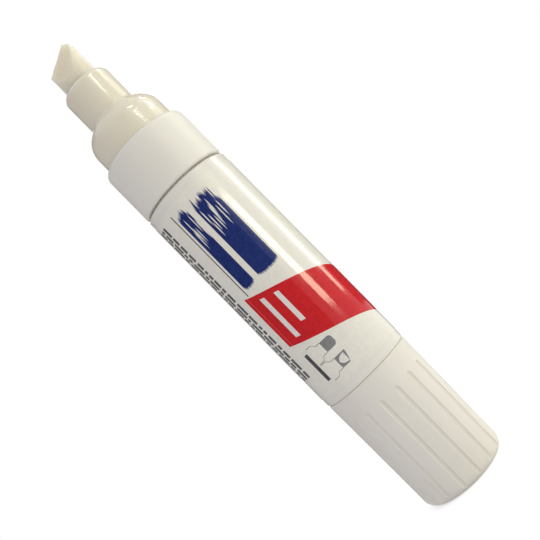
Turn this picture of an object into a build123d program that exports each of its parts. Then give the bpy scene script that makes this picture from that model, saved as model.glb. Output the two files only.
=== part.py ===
"""A broad two-ended paint marker that stands on its cap, posted on the rear of the barrel.

Millimetres. The axis is +Z with the nib up, and the origin is the centre of the cap's flat end.
The broad face of the chisel looks along -Y and its long corner lies on the +X side.
"""

import os
from math import cos, hypot, pi, radians, sin, sqrt, tan

from build123d import *

# Cap
cap_length = 25.35
cap_mouth_inset = 0.025
cap_draft = 0.3
cap_end_wall = 1.0
cap_side_wall = 1.2
cap_end_round_width = 1.8
cap_end_round_height = 1.8
cap_rim_chamfer = 0.2
cap_lead_in = 0.25
cap_socket_room = 2.5
cap_fit = 0.05
grip_ridge_height = 0.12
grip_ridge_width = 1.2
grip_ridge_depth = 1.6
gate_recess_diameter = 6.0
gate_recess_depth = 0.3

# Grooves round the cap
flute_count = 16
flute_rim_margin = 4.25
flute_width = 1.0
flute_depth = 0.35

# Liner that seals on the nose tube, and the ribs that hold it in the cap
liner_tail_gap = 1.5
liner_wall = 0.9
liner_floor = 0.5
liner_fit = 0.06
liner_lead_in = 0.4
liner_rib_count = 8
liner_rib_thickness = 0.8
liner_rib_length = 7.0
liner_rib_fit = 0.02

# Barrel
barrel_diameter = 18.15
barrel_length = 45.7
barrel_wall = 1.2
barrel_edge_chamfer = 0.25
barrel_lead_in = 0.3
tail_length = 9.5
tail_wall = 1.2
tail_floor = 1.4
tail_floor_slope = 11.0
tail_end_chamfer = 0.6
tail_step_rise = 1.5

# Spigot that the cap grips, a step in from the barrel, at its tail and at the shoulder of the nose
spigot_step = 1.32
cap_seam_gap = 0.05

# Wrap-round label
label_thickness = 0.08
label_glue = 0.02
label_margin = 1.85

# Front collar
collar_inset = 0.05
collar_length = 10.8
collar_seam_gap = 0.5
collar_round_width = 1.05
collar_round_height = 1.2
collar_rear_chamfer = 0.25
collar_pocket_depth = 7.25
collar_plug_wall = 1.1
collar_plug_relief = 0.15
collar_ledge_thickness = 1.2
seal_ridge_width = 0.8
seal_ridge_spacing = 3.0
plug_fit = 0.02

# Nose that holds the nib
nose_shoulder_length = 3.4
nose_dome_sweep = 71.7
nose_tube_wall = 1.38
nose_tube_length = 8.0
nose_rim_round_width = 1.1
nose_rim_round_height = 1.25
nose_crease_chamfer = 0.3
nose_plug_length = 5.5
nose_wall = 1.2
nose_fit = 0.03
snap_ridge_width = 0.9
snap_ridge_height = 0.15
snap_ridge_rise = 3.0
snap_groove_room = 0.05
vent_count = 4
vent_width = 1.0
vent_depth = 0.45

# Two-ended nib: chisel outside, bullet inside
nib_diameter = 7.0
nib_length = 31.65
nib_reach = 8.15
nib_fit = 0.05
chisel_slant = 29.0
chisel_half_angle = 36.0
chisel_edge_thickness = 0.9
chisel_corner_width = 1.25
chisel_corner_drop = 1.45
nib_edge_round = 0.15

# Valve that the nib presses open
gasket_thickness = 0.8
seat_thickness = 3.0
seat_hole_diameter = 4.0
seat_funnel = 0.8
seat_lip_width = 0.5
seat_lip_height = 0.25
valve_fit = 0.03
valve_seal_gap = 0.02
valve_seal_overlap = 0.2
valve_seal_thickness = 0.8
valve_seal_fit = 0.03
stem_rod_diameter = 2.0
stem_tail_reach = 1.0
stem_end_chamfer = 0.4
poppet_rim = 0.1
poppet_thickness = 1.0
spring_boss_diameter = 3.0
spring_boss_length = 1.0
dish_pass_fit = 0.2
dish_thickness = 1.5
dish_depth = 0.4
dish_fit = 0.03
cage_length = 12.0
cage_wall = 0.9
cage_floor = 1.2
cage_flange_thickness = 1.2
cage_flow_gap = 0.7
cage_fit = 0.1
cage_guide_fit = 0.1
window_count = 4
window_length = 7.0
window_width = 3.0
valve_travel = 2.0
travel_stop_gap = 0.05

# Valve spring, its wire drawn with flat sides
spring_wire_diameter = 0.5
spring_wire_sides = 8
spring_boss_fit = 0.25
spring_turns = 6
spring_end_gap = 0.05

# Loose ball that stirs the paint
ball_diameter = 6.0
ball_rest_gap = 0.05

# The flat crest of a ridge or groove, as a share of its width
ridge_flat_share = 1 / 3

# Radii shared by pieces that fit each other
barrel_radius = barrel_diameter / 2
barrel_bore_radius = barrel_radius - barrel_wall
spigot_radius = barrel_radius - spigot_step
tail_bore_radius = spigot_radius - tail_wall
cap_grip_radius = spigot_radius + cap_fit
cap_bore_radius = cap_grip_radius + grip_ridge_height
cap_mouth_radius = barrel_radius - cap_mouth_inset
cap_end_radius = cap_mouth_radius - cap_draft
cap_inner_radius = cap_end_radius - cap_side_wall
nib_radius = nib_diameter / 2
nib_bore_radius = nib_radius + nib_fit
nose_tube_radius = nib_bore_radius + nose_tube_wall
liner_bore_radius = nose_tube_radius + liner_fit
liner_radius = liner_bore_radius + liner_wall
label_bore_radius = barrel_radius + label_glue
label_radius = label_bore_radius + label_thickness
collar_radius = barrel_radius - collar_inset
collar_pocket_radius = spigot_radius + nose_fit
collar_plug_radius = barrel_bore_radius - collar_plug_relief
collar_plug_bore_radius = collar_plug_radius - collar_plug_wall
snap_crest_radius = spigot_radius + snap_ridge_height
nose_plug_radius = collar_plug_bore_radius - nose_fit
nose_chamber_radius = nose_plug_radius - nose_wall
stack_radius = collar_plug_bore_radius - valve_fit
stem_rod_radius = stem_rod_diameter / 2
seat_hole_radius = seat_hole_diameter / 2
seat_lip_radius = seat_hole_radius + seat_lip_width
valve_seal_radius = seat_lip_radius + valve_seal_overlap
poppet_radius = valve_seal_radius + poppet_rim
spring_boss_radius = spring_boss_diameter / 2
spring_radius = spring_boss_radius + spring_boss_fit + spring_wire_diameter / 2
guide_bore_radius = stem_rod_radius + cage_guide_fit
cage_bore_radius = poppet_radius + cage_flow_gap
cage_radius = cage_bore_radius + cage_wall
collar_ledge_radius = cage_radius + cage_fit
dish_radius = seat_hole_radius - dish_pass_fit
dish_cup_radius = nib_radius + dish_fit

# Heights along the axis, from the cap's end to the nib's tip
barrel_rear = cap_length + cap_seam_gap
barrel_front = barrel_rear + barrel_length
tail_end = barrel_rear - tail_length
liner_top = tail_end - liner_tail_gap
cap_socket_floor = cap_length - tail_length - cap_socket_room
collar_rear = barrel_front + collar_seam_gap
collar_front = collar_rear + collar_length
shoulder_top = collar_front + nose_shoulder_length
nose_dome_radius = (spigot_radius - nose_tube_radius) / (1 - cos(radians(nose_dome_sweep)))
dome_top = shoulder_top + nose_dome_radius * sin(radians(nose_dome_sweep))
nose_rim = dome_top + nose_tube_length
nib_tip = nose_rim + nib_reach
nib_end = nib_tip - nib_length
collar_pocket_floor = collar_front - collar_pocket_depth
snap_middle = collar_pocket_floor + snap_ridge_rise
nose_end = collar_pocket_floor - nose_plug_length
gasket_bottom = nose_end - gasket_thickness
seat_bottom = gasket_bottom - seat_thickness
cage_top = seat_bottom
cage_flange_bottom = cage_top - cage_flange_thickness
collar_plug_end = cage_flange_bottom - collar_ledge_thickness
cage_bottom = cage_flange_bottom - cage_length
spring_bottom = cage_bottom + cage_floor
seal_top = seat_bottom - seat_lip_height - valve_seal_gap
poppet_top = seal_top - valve_seal_thickness
poppet_bottom = poppet_top - poppet_thickness
spring_boss_bottom = poppet_bottom - spring_boss_length
guide_top = spring_boss_bottom - valve_travel - travel_stop_gap
stem_end = cage_bottom - stem_tail_reach
dish_bottom = nib_end - dish_fit - dish_thickness


def flat_ring(inner_radius, outer_radius, bottom, thickness):
    """Make a plain ring round the axis."""
    with BuildPart() as ring:
        with BuildSketch(Plane.XY.offset(bottom)):
            Circle(outer_radius)
            Circle(inner_radius, mode=Mode.SUBTRACT)
        extrude(amount=thickness)
    return ring


def corner(sketch, radius, height):
    """Find the corner of a half section that lies at a radius and a height."""
    return sketch.vertices().sort_by_distance((radius, height))[0]


def ridge(root_radius, crest_radius, middle, width):
    """Give the corners of a ridge or groove on a half section, from the lower to the upper."""
    half_flat = ridge_flat_share * width / 2
    return [
        (root_radius, middle - width / 2),
        (crest_radius, middle - half_flat),
        (crest_radius, middle + half_flat),
        (root_radius, middle + width / 2),
    ]


# One cap groove: a round cut along the tapered side, closed by a ball at its upper end
flute_radius = (flute_width**2 / 4 + flute_depth**2) / (2 * flute_depth)
flute_length = cap_length - flute_rim_margin
flute_top = flute_length - flute_width / 2
cap_taper = cap_draft / (cap_length - cap_end_round_height)
cap_flute_radius = cap_end_radius + cap_taper * (flute_top - cap_end_round_height)
flute_axis_radius = cap_flute_radius + flute_radius - flute_depth
flute_start = Plane(origin=(flute_axis_radius, 0, flute_top), z_dir=(-cap_taper, 0, -1))
with BuildPart() as flute_cut:
    with BuildSketch(flute_start):
        Circle(flute_radius)
    extrude(amount=flute_length)
    with Locations(flute_start.origin):
        Sphere(flute_radius)

with BuildPart() as cap:
    with BuildSketch(Plane.XZ) as cap_section:
        grip_middle = cap_length - grip_ridge_depth
        grip_ridge = ridge(cap_bore_radius, cap_grip_radius, grip_middle, grip_ridge_width)
        with BuildLine():
            end_round = EllipticalCenterArc(
                (cap_end_radius - cap_end_round_width, cap_end_round_height),
                cap_end_round_width,
                cap_end_round_height,
                start_angle=270,
            )
            Polyline(
                end_round @ 1,
                (cap_mouth_radius, cap_length),
                (cap_bore_radius, cap_length),
                *reversed(grip_ridge),
                (cap_bore_radius, cap_socket_floor),
                (cap_inner_radius, cap_socket_floor - cap_bore_radius + cap_inner_radius),
                (cap_inner_radius, cap_end_wall),
                (0, cap_end_wall),
                (0, gate_recess_depth),
                (gate_recess_diameter / 2, gate_recess_depth),
                (gate_recess_diameter / 2, 0),
                end_round @ 0,
            )
        make_face()
        chamfer(corner(cap_section, cap_mouth_radius, cap_length), cap_rim_chamfer)
        chamfer(corner(cap_section, cap_bore_radius, cap_length), cap_lead_in)
    revolve(axis=Axis.Z)
    with BuildSketch(Plane.XY.offset(cap_end_wall)):
        rib_inner_radius = liner_radius + liner_rib_fit
        rib_outer_radius = cap_inner_radius + cap_side_wall / 2
        with PolarLocations((rib_inner_radius + rib_outer_radius) / 2, liner_rib_count):
            Rectangle(rib_outer_radius - rib_inner_radius, liner_rib_thickness)
    extrude(amount=liner_rib_length)
    front_to_first_flute = 180 / flute_count
    with PolarLocations(0, flute_count, start_angle=front_to_first_flute - 90):
        add(flute_cut.part, mode=Mode.SUBTRACT)

with BuildPart() as cap_liner:
    with BuildSketch(Plane.XZ) as liner_section:
        with BuildLine():
            Polyline(
                (0, cap_end_wall),
                (liner_radius, cap_end_wall),
                (liner_radius, liner_top),
                (liner_bore_radius, liner_top),
                (liner_bore_radius, cap_end_wall + liner_floor),
                (0, cap_end_wall + liner_floor),
                close=True,
            )
        make_face()
        chamfer(corner(liner_section, liner_bore_radius, liner_top), liner_lead_in)
    revolve(axis=Axis.Z)

with BuildPart() as barrel:
    with BuildSketch(Plane.XZ) as barrel_section:
        tail_step = barrel_rear + tail_floor
        tail_floor_rim = tail_end + tail_floor + tail_bore_radius * tan(radians(tail_floor_slope))
        with BuildLine():
            Polyline(
                (0, tail_end),
                (spigot_radius, tail_end),
                (spigot_radius, barrel_rear),
                (barrel_radius, barrel_rear),
                (barrel_radius, barrel_front),
                (barrel_bore_radius, barrel_front),
                (barrel_bore_radius, tail_step + tail_step_rise),
                (tail_bore_radius, tail_step),
                (tail_bore_radius, tail_floor_rim),
                (0, tail_end + tail_floor),
                close=True,
            )
        make_face()
        chamfer(corner(barrel_section, spigot_radius, tail_end), tail_end_chamfer)
        chamfer(corner(barrel_section, barrel_radius, barrel_rear), barrel_edge_chamfer)
        chamfer(corner(barrel_section, barrel_radius, barrel_front), barrel_edge_chamfer)
        chamfer(corner(barrel_section, barrel_bore_radius, barrel_front), barrel_lead_in)
    revolve(axis=Axis.Z)

label = flat_ring(
    label_bore_radius,
    label_radius,
    barrel_rear + label_margin,
    barrel_length - 2 * label_margin,
)

with BuildPart() as front_collar:
    with BuildSketch(Plane.XZ) as collar_section:
        plug_middle = (collar_plug_end + collar_rear) / 2
        seal_crest_radius = barrel_bore_radius - plug_fit
        lower_seal, upper_seal = (
            ridge(collar_plug_radius, seal_crest_radius, plug_middle + rise, seal_ridge_width)
            for rise in (-seal_ridge_spacing / 2, seal_ridge_spacing / 2)
        )
        groove_crest_radius = snap_crest_radius + snap_groove_room
        groove_width = snap_ridge_width + 2 * snap_groove_room
        snap_groove = ridge(collar_pocket_radius, groove_crest_radius, snap_middle, groove_width)
        with BuildLine():
            front_round = EllipticalCenterArc(
                (collar_radius - collar_round_width, collar_front - collar_round_height),
                collar_round_width,
                collar_round_height,
            )
            Polyline(
                front_round @ 1,
                (collar_pocket_radius, collar_front),
                *reversed(snap_groove),
                (collar_pocket_radius, collar_pocket_floor),
                (collar_plug_bore_radius, collar_pocket_floor),
                (collar_plug_bore_radius, cage_flange_bottom),
                (collar_ledge_radius, cage_flange_bottom),
                (collar_ledge_radius, collar_plug_end),
                (collar_plug_radius, collar_plug_end),
                *lower_seal,
                *upper_seal,
                (collar_plug_radius, collar_rear),
                (collar_radius, collar_rear),
                front_round @ 0,
            )
        make_face()
        chamfer(corner(collar_section, collar_radius, collar_rear), collar_rear_chamfer)
        chamfer(corner(collar_section, collar_plug_radius, collar_plug_end), barrel_lead_in)
    revolve(axis=Axis.Z)

with BuildPart() as nose:
    with BuildSketch(Plane.XZ) as nose_section:
        bore_start = shoulder_top + nose_chamber_radius - nib_bore_radius
        with BuildLine():
            dome = CenterArc(
                (spigot_radius - nose_dome_radius, shoulder_top),
                nose_dome_radius,
                start_angle=0,
                arc_size=nose_dome_sweep,
            )
            rim_round = EllipticalCenterArc(
                (nose_tube_radius - nose_rim_round_width, nose_rim - nose_rim_round_height),
                nose_rim_round_width,
                nose_rim_round_height,
            )
            Line(dome @ 1, rim_round @ 0)
            Polyline(
                rim_round @ 1,
                (nib_bore_radius, nose_rim),
                (nib_bore_radius, bore_start),
                (nose_chamber_radius, shoulder_top),
                (nose_chamber_radius, nose_end),
                (nose_plug_radius, nose_end),
                (nose_plug_radius, collar_pocket_floor),
                (spigot_radius, collar_pocket_floor),
                *ridge(spigot_radius, snap_crest_radius, snap_middle, snap_ridge_width),
                dome @ 0,
            )
        make_face()
        chamfer(corner(nose_section, nose_tube_radius, dome_top), nose_crease_chamfer)
    revolve(axis=Axis.Z)
    with BuildSketch(Plane.XY.offset(bore_start)):
        with PolarLocations(nib_bore_radius, vent_count):
            Rectangle(2 * vent_depth, vent_width)
    extrude(amount=nose_rim - bore_start, mode=Mode.SUBTRACT)

# The chisel's edge falls from its long corner, so its line and its wedge share one slanted direction
edge_run = Vector(cos(radians(chisel_slant)), 0, sin(radians(chisel_slant)))
edge_long_end = Vector(nib_radius - chisel_corner_width, 0, nib_tip)
edge_plane = Plane(origin=edge_long_end, x_dir=(0, 1, 0), z_dir=edge_run)
edge_drop = 2 * nib_radius * tan(radians(chisel_slant))
with BuildPart() as nib:
    with BuildSketch(Plane.XZ) as nib_section:
        with BuildLine():
            bullet = CenterArc((0, nib_end + nib_radius), nib_radius, start_angle=-90, arc_size=90)
            Polyline(bullet @ 1, (nib_radius, nib_tip), (0, nib_tip), bullet @ 0)
        make_face()
    revolve(axis=Axis.Z)
    with BuildSketch(Plane.XZ):
        with BuildLine():
            edge_start = edge_long_end - edge_run * (edge_drop + 2 * nib_radius)
            Polyline(
                (edge_start.X, edge_start.Z),
                (edge_long_end.X, edge_long_end.Z),
                (nib_radius, nib_tip - chisel_corner_drop),
                (nib_radius + nib_reach, nib_tip - chisel_corner_drop),
                (nib_radius + nib_reach, nib_tip + nib_reach),
                (edge_start.X, nib_tip + nib_reach),
                close=True,
            )
        make_face()
    extrude(amount=nib_diameter, both=True, mode=Mode.SUBTRACT)
    with BuildSketch(edge_plane):
        wedge_depth = nib_diameter / tan(radians(chisel_half_angle))
        half_edge = chisel_edge_thickness / 2
        with BuildLine():
            Polyline(
                (half_edge, 0),
                (half_edge + nib_diameter, -wedge_depth),
                (half_edge + nib_diameter, wedge_depth),
                (half_edge, wedge_depth),
                close=True,
            )
        make_face()
        mirror(about=Plane.YZ)
    extrude(amount=nib_length, both=True, mode=Mode.SUBTRACT)
    chisel_edges = nib.edges().filter_by(GeomType.LINE).filter_by_position(Axis.Z, nose_rim, nib_tip)
    fillet(chisel_edges, nib_edge_round)

nose_gasket = flat_ring(nose_chamber_radius, stack_radius, gasket_bottom, gasket_thickness)

with BuildPart() as valve_seat:
    with BuildSketch(Plane.XZ) as seat_section:
        with BuildLine():
            Polyline(
                (seat_hole_radius, seat_bottom - seat_lip_height),
                (seat_lip_radius, seat_bottom - seat_lip_height),
                (seat_lip_radius, seat_bottom),
                (stack_radius, seat_bottom),
                (stack_radius, gasket_bottom),
                (seat_hole_radius, gasket_bottom),
                close=True,
            )
        make_face()
        chamfer(corner(seat_section, seat_hole_radius, gasket_bottom), seat_funnel)
    revolve(axis=Axis.Z)

with BuildPart() as valve_cage:
    with BuildSketch(Plane.XZ):
        with BuildLine():
            Polyline(
                (cage_bore_radius, cage_top),
                (stack_radius, cage_top),
                (stack_radius, cage_flange_bottom),
                (cage_radius, cage_flange_bottom),
                (cage_radius, cage_bottom),
                (guide_bore_radius, cage_bottom),
                (guide_bore_radius, guide_top),
                (spring_boss_radius, guide_top),
                (spring_boss_radius, spring_bottom),
                (cage_bore_radius, spring_bottom),
                close=True,
            )
        make_face()
    revolve(axis=Axis.Z)
    window_middle = (spring_bottom + cage_flange_bottom) / 2
    for window in range(window_count):
        facing = Plane.XZ.rotated((0, window * 360 / window_count, 0))
        with BuildSketch(facing.offset(poppet_radius)):
            with Locations((0, window_middle)):
                SlotOverall(window_length, window_width, rotation=90)
        extrude(amount=cage_radius, mode=Mode.SUBTRACT)

with BuildPart() as valve_stem:
    with BuildSketch(Plane.XZ) as stem_section:
        dish_rim = nib_end - dish_fit + dish_depth
        cup_rim_radius = sqrt(dish_cup_radius**2 - (dish_cup_radius - dish_depth) ** 2)
        with BuildLine():
            cup = RadiusArc((cup_rim_radius, dish_rim), (0, nib_end - dish_fit), dish_cup_radius)
            Polyline(
                cup @ 1,
                (0, stem_end),
                (stem_rod_radius, stem_end),
                (stem_rod_radius, spring_boss_bottom),
                (spring_boss_radius, spring_boss_bottom),
                (spring_boss_radius, poppet_bottom),
                (poppet_radius, poppet_bottom),
                (poppet_radius, poppet_top),
                (stem_rod_radius, poppet_top),
                (stem_rod_radius, dish_bottom - dish_radius + stem_rod_radius),
                (dish_radius, dish_bottom),
                (dish_radius, dish_rim),
                cup @ 0,
            )
        make_face()
        chamfer(corner(stem_section, stem_rod_radius, stem_end), stem_end_chamfer)
    revolve(axis=Axis.Z)

valve_seal = flat_ring(
    stem_rod_radius + valve_seal_fit,
    valve_seal_radius,
    poppet_top,
    valve_seal_thickness,
)

# The spring is one helix of the same pitch all along, drawn as pairs of arcs that meet tangent
spring_start = spring_bottom + spring_end_gap + spring_wire_diameter / 2
spring_finish = poppet_bottom - spring_end_gap - spring_wire_diameter / 2
spring_rise = spring_finish - spring_start


def spring_point(turn):
    """Give the middle of the wire after a number of turns."""
    angle = 2 * pi * turn
    height = spring_start + spring_rise * turn / spring_turns
    return Vector(spring_radius * cos(angle), spring_radius * sin(angle), height)


def spring_direction(turn):
    """Give the wire's direction after a number of turns."""
    angle = 2 * pi * turn
    climb = spring_rise / spring_turns / (2 * pi)
    return Vector(-spring_radius * sin(angle), spring_radius * cos(angle), climb).normalized()


def add_biarc(start, start_direction, finish, finish_direction):
    """Draw two arcs that leave start and reach finish along the given directions."""
    span = finish - start
    both = start_direction + finish_direction
    spread = 2 * (1 - start_direction.dot(finish_direction))
    reach = (sqrt(span.dot(both) ** 2 + spread * span.dot(span)) - span.dot(both)) / spread
    first_arm = start + start_direction * reach
    second_arm = finish - finish_direction * reach
    middle = (first_arm + second_arm) / 2
    TangentArc(start, middle, tangent=start_direction)
    TangentArc(middle, finish, tangent=second_arm - first_arm)


def spring_least_gap(points_per_turn):
    """Measure the least gap between neighbouring turns, on points along the wire."""
    points = [spring_point(i / points_per_turn) for i in range(spring_turns * points_per_turn + 1)]
    apart = points_per_turn // 2
    pairs = ((a, b) for i, a in enumerate(points) for b in points[i + apart :])
    return min((a - b).length for a, b in pairs) - spring_wire_diameter


with BuildPart() as valve_spring:
    with BuildLine() as spring_line:
        for quarter in range(4 * spring_turns):
            here = quarter / 4
            there = (quarter + 1) / 4
            ends = (spring_point(here), spring_direction(here), spring_point(there), spring_direction(there))
            add_biarc(*ends)
    with BuildSketch(Plane(origin=spring_point(0), z_dir=spring_direction(0))) as wire_section:
        RegularPolygon(spring_wire_diameter / 2, spring_wire_sides)
    sweep(path=spring_line.line, clean=False)

# The ball rests in the shallow cone of the tail's floor
ball_radius = ball_diameter / 2
ball_rest = tail_end + tail_floor + ball_rest_gap + ball_radius / cos(radians(tail_floor_slope))
with BuildPart() as mixing_ball:
    with Locations((0, 0, ball_rest)):
        Sphere(ball_radius)

pieces = {
    "cap": cap,
    "cap_liner": cap_liner,
    "barrel": barrel,
    "label": label,
    "front_collar": front_collar,
    "nose": nose,
    "nib": nib,
    "nose_gasket": nose_gasket,
    "valve_seat": valve_seat,
    "valve_cage": valve_cage,
    "valve_stem": valve_stem,
    "valve_seal": valve_seal,
    "valve_spring": valve_spring,
    "mixing_ball": mixing_ball,
}
os.makedirs("parts", exist_ok=True)
for name, piece in pieces.items():
    piece.part.label = name
    export_step(piece.part, f"parts/{name}.step")

wire_length = spring_turns * hypot(2 * pi * spring_radius, spring_rise / spring_turns)
wire_volume = wire_length * wire_section.sketch.area
print(f"nib tip {nib_tip:.2f}, nose rim {nose_rim:.2f}, barrel {barrel_rear:.2f} to {barrel_front:.2f}")
print(f"spring gap {spring_least_gap(24):.2f}, volume {valve_spring.part.volume:.3f} of {wire_volume:.3f}")
print(f"ball may rise {stem_end - valve_travel - ball_radius - ball_rest:.2f}")
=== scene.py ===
"""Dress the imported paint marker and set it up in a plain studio.

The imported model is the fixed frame, so every piece is in metres and in its coordinates: the marker
stands on its cap along +Z, the broad face of its chisel looks along -Y and its long corner lies on +X.
"""

from __future__ import annotations

import logging
import math
import random
from abc import ABC, abstractmethod
from collections.abc import Callable
from dataclasses import dataclass, field
from enum import Enum

import bpy
from mathutils import Matrix, Vector, noise


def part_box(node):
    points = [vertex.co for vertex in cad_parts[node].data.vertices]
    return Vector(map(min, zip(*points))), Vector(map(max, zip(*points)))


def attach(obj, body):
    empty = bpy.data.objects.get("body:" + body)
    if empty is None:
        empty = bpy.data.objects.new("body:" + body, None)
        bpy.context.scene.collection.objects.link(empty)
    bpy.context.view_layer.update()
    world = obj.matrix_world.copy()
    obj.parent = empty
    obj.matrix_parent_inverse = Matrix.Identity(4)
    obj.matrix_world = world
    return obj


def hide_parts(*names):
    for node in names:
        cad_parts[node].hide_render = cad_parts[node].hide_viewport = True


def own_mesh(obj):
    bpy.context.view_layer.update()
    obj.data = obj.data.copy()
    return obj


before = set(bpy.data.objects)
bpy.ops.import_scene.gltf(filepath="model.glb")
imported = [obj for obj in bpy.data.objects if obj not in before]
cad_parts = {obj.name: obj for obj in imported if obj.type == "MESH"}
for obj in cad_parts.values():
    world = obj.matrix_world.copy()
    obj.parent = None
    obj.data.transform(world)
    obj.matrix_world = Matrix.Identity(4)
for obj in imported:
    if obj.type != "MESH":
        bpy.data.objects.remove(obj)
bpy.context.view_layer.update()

LOG = logging.getLogger("paint_marker")
MM = 0.001
CREASE = math.radians(35)
FULL_TURN_DEG = 360
SLAB_CORNERS = 4
# The middle of what noise puts out, and nearly all of it.
MIDDLE_RANGE = (0.35, 0.65)
WIDE_RANGE = (0.3, 0.7)

# Linear colours with alpha, and screen colours in levels from 0 to 255.
Colour = tuple[float, float, float, float]
Levels = tuple[int, int, int]
Pair = tuple[float, float]
Triple = tuple[float, float, float]
Face = tuple[int, ...]
Material = bpy.types.Material
Node = bpy.types.Node
Piece = bpy.types.Object
Socket = bpy.types.NodeSocket
Value = Socket | float
Inputs = dict[str | int, object]


class Body(Enum):
    """The bodies that the new pieces of this scene move with."""

    BARREL = "barrel"
    NIB = "nib"


class Slot(Enum):
    """Material slot names for the label film, the nib felt and the spring steel; the new pieces do not
    take their finish from them.
    """

    FILM = "label_film"
    FELT = "nib_felt"
    SPRING = "spring_steel"


class SharedEffect(Enum):
    """Effects that several finishes use, each one node group named after the method that makes it."""

    MOULDED_SKIN = "moulded_skin"
    HANDLING_MARKS = "handling_marks"
    FILM_RIPPLE = "film_ripple"


def screen_colour(levels: Levels) -> Colour:
    """Turn a screen colour into the linear colour that shaders take.

    Args:
        levels: Red, green and blue from 0 to 255.

    Returns:
        Linear red, green and blue, with full alpha.
    """
    shares = (level / 255 for level in levels)
    linear = (s / 12.92 if s <= 0.04045 else ((s + 0.055) / 1.055) ** 2.4 for s in shares)
    return (*linear, 1.0)


def grey(level: float) -> Colour:
    """Give the linear grey of a level from 0 to 1."""
    return (level, level, level, 1.0)


def polar(angle: float, radius: float, height: float) -> Vector:
    """Give the point at an angle round from the marker's front, a radius and a height."""
    return Vector((radius * math.sin(angle), -radius * math.cos(angle), height))


class NodeSheet:
    """A node tree that is being laid out, with short calls to add and join its nodes."""

    def __init__(self, tree: bpy.types.NodeTree) -> None:
        """Start on a cleared tree."""
        tree.nodes.clear()
        self.tree = tree

    def feed(self, node: Node, inputs: Inputs) -> None:
        """Join sockets to a node's inputs and set plain values on them.

        Args:
            node: The node.
            inputs: What goes into each input, by its name or number.
        """
        for name, value in inputs.items():
            if isinstance(value, Socket):
                self.tree.links.new(value, node.inputs[name])
            else:
                node.inputs[name].default_value = value

    def add(self, kind: str, inputs: Inputs | None = None, **settings: object) -> Node:
        """Add a node, set its properties and feed its inputs.

        Args:
            kind: Blender's name of the node type.
            inputs: What goes into each input, by its name or number.
            **settings: Properties of the node itself.

        Returns:
            The new node.
        """
        node = self.tree.nodes.new(kind)
        for name, value in settings.items():
            setattr(node, name, value)
        self.feed(node, inputs or {})
        return node

    def math(self, operation: str, first: Socket, second: Socket) -> Socket:
        """Join two values by an operation of the Math node."""
        return self.add("ShaderNodeMath", {0: first, 1: second}, operation=operation).outputs[0]

    def mix(self, share: Socket, first: Socket | Colour, second: Socket | Colour) -> Socket:
        """Blend from the first colour to the second by a share."""
        return self.add("ShaderNodeMix", {0: share, 6: first, 7: second}, data_type="RGBA").outputs[2]

    def span(
        self, value: Socket, low: float, high: float, to_low: Value = 0.0, to_high: Value = 1.0
    ) -> Socket:
        """Stretch a value from one range to another, held at its ends."""
        inputs = {0: value, 1: low, 2: high, 3: to_low, 4: to_high}
        return self.add("ShaderNodeMapRange", inputs).outputs[0]

    def place(self, along: float = 1.0) -> Socket:
        """Give the point on the piece, in metres, with its height stretched."""
        point = self.add("ShaderNodeTexCoord").outputs["Object"]
        return self.add("ShaderNodeMapping", {"Vector": point, "Scale": (1.0, 1.0, along)}).outputs[0]

    def noise(self, per_metre: Value, detail: float, along: float = 1.0) -> Socket:
        """Give soft noise with a number of lumps to the metre, and a share of it along the marker."""
        inputs = {"Vector": self.place(along), "Scale": per_metre, "Detail": detail}
        return self.add("ShaderNodeTexNoise", inputs).outputs[0]

    def bump(self, height: Socket, depth_m: float) -> Socket:
        """Give a normal that stands for a relief of the given depth."""
        return self.add("ShaderNodeBump", {"Height": height, "Distance": depth_m}).outputs[0]


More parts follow.
